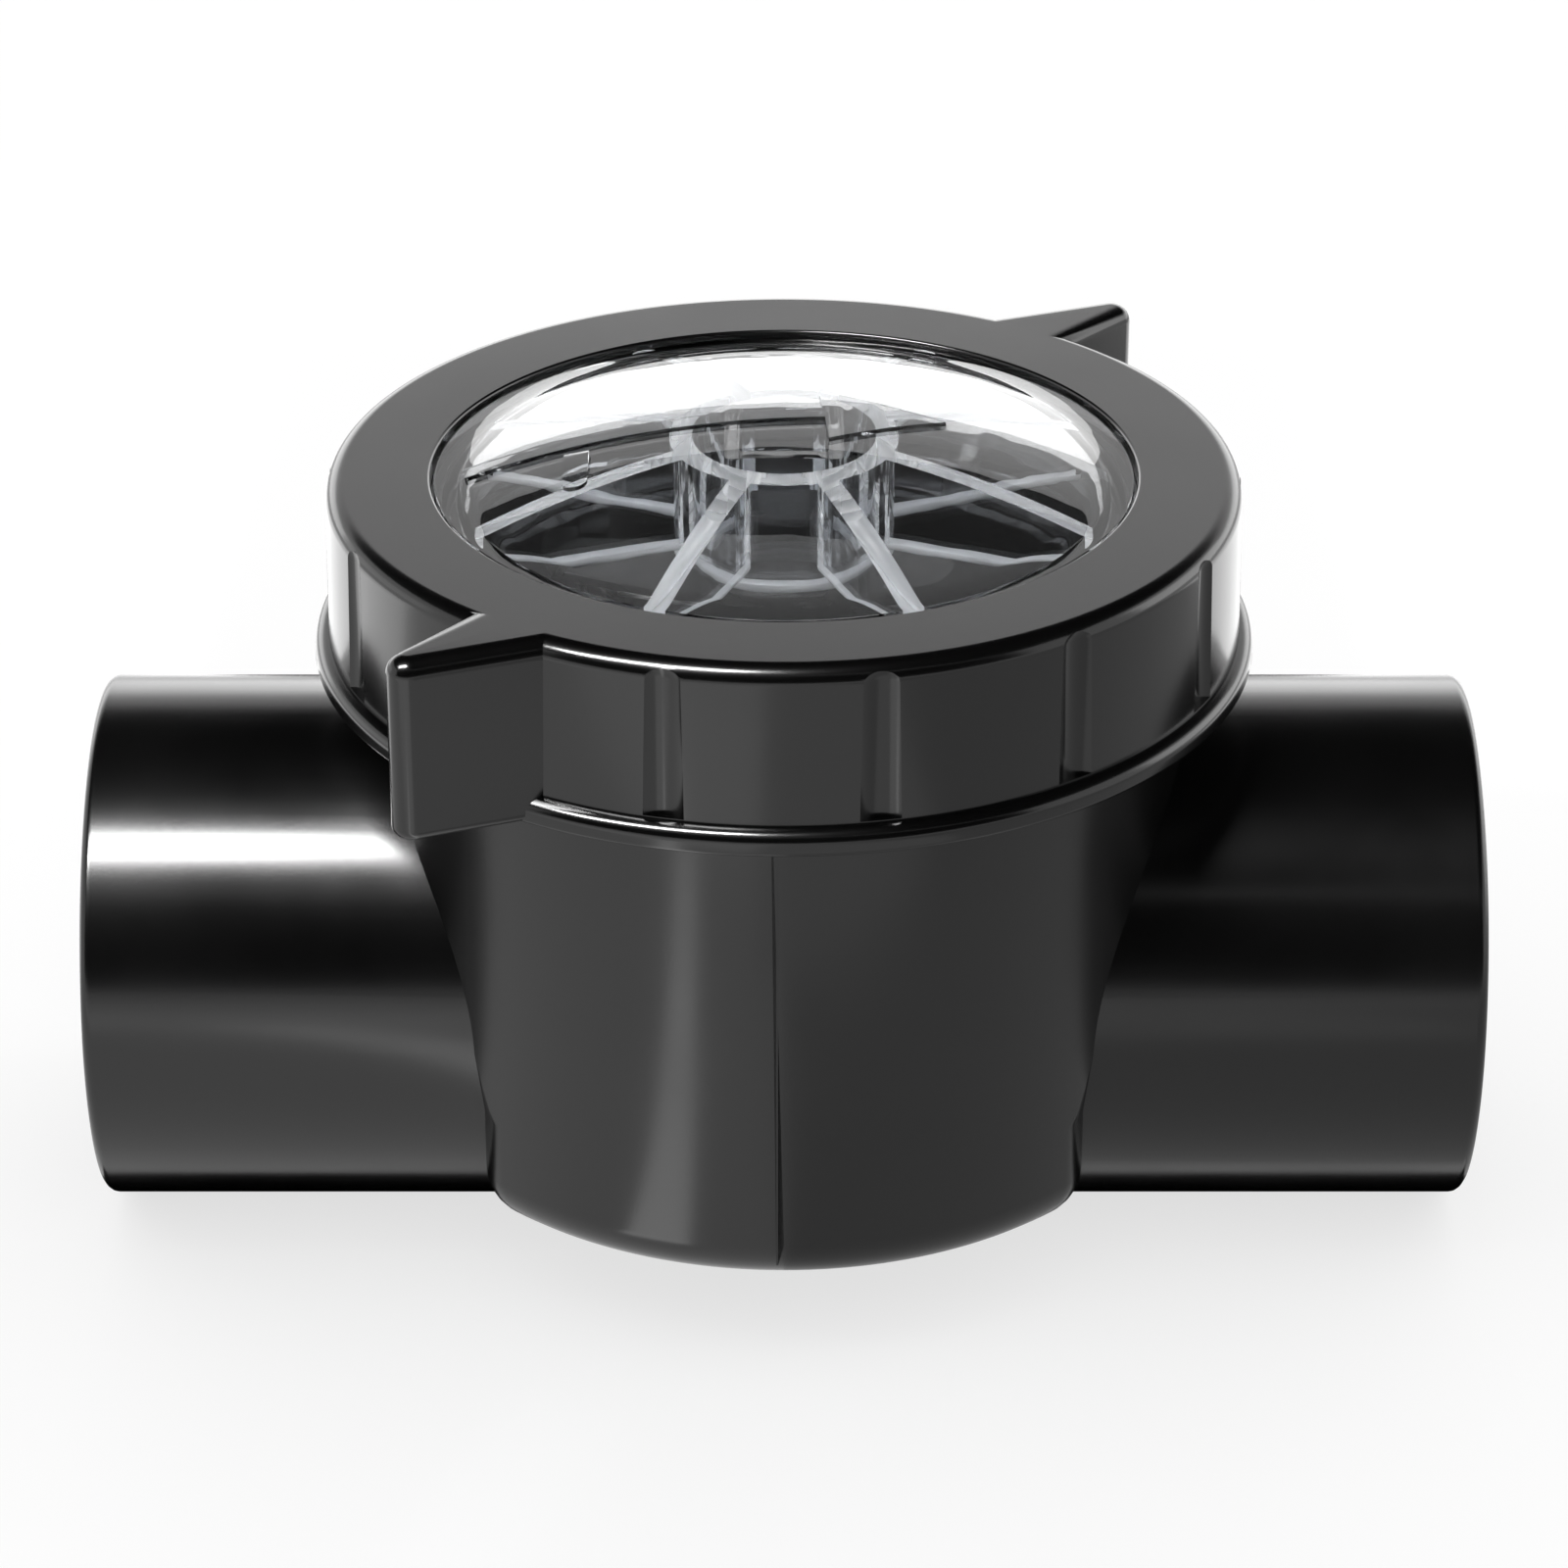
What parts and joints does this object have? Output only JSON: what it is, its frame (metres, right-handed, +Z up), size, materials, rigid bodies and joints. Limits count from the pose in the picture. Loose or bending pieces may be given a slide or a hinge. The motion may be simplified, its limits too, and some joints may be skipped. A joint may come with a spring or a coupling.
{
  "type": "non-return valve",
  "caption": "Inline swing non-return valve with plain pipe sockets, a round pot, a clear domed lid under a screw-down lock ring, and a sprung flap cartridge inside.",
  "frame": {"origin": "on the lid's axis, midway between the port ends, at the height of the ports' lowest line", "axes": "+X downstream along the port axis, +Z up out of the lid, +Y to the left of the flow"},
  "size_m": [0.19, 0.129, 0.1149],
  "materials": {
    "black_plastic": "moulded black plastic, soft satin gloss",
    "dark_plastic": "moulded dark grey plastic",
    "clear_plastic": "clear polished polycarbonate",
    "white_plastic": "natural white bearing plastic",
    "rubber": "black moulded rubber",
    "stainless_steel": "stainless steel"
  },
  "bodies": {
    "body": {"valve_body": "black_plastic", "seat_frame": "dark_plastic", "frame_gasket": "rubber", "stop_bumper": "rubber", "hinge_bracket": "stainless_steel", "hinge_pin": "stainless_steel", "hinge_bush_front": "white_plastic", "hinge_bush_rear": "white_plastic", "pin_clip_front": "stainless_steel", "pin_clip_rear": "stainless_steel", "bracket_screw_front": "stainless_steel", "bracket_screw_rear": "stainless_steel", "return_spring_front": "stainless_steel", "return_spring_rear": "stainless_steel"},
    "flap": {"flap_arm": "dark_plastic", "flap_disc": "dark_plastic", "flap_seal": "rubber", "seal_retainer": "stainless_steel", "center_bolt": "stainless_steel", "bolt_washer": "stainless_steel", "bolt_nut": "stainless_steel"},
    "lid": {"lid": "clear_plastic", "lid_o_ring": "rubber"},
    "ring": {"lock_ring": "black_plastic"}
  },
  "joints": [
    {"name": "flap_swing", "type": "hinge", "parent": "body", "child": "flap", "pos_m": [-0.0212, 0, 0.06984], "axis": [0, -1, 0], "range_deg": [0, 65], "stiffness_Nm_per_rad": 0.02, "springref_deg": -45.84, "deforming": ["return_spring_front", "return_spring_rear"]},
    {"name": "lid_lift", "type": "slide", "parent": "body", "child": "lid", "axis": [0, 0, 1], "range_m": [0, 0.0151]},
    {"name": "ring_turn", "type": "hinge", "parent": "lid", "child": "ring", "pos_m": [0, 0, 0.0365], "axis": [0, 0, 1], "range_deg": [0, 900]}
  ],
  "couplings": [
    {"joint": "lid_lift", "follows": "ring_turn", "m_per_rad": 0.00095493}
  ]
}
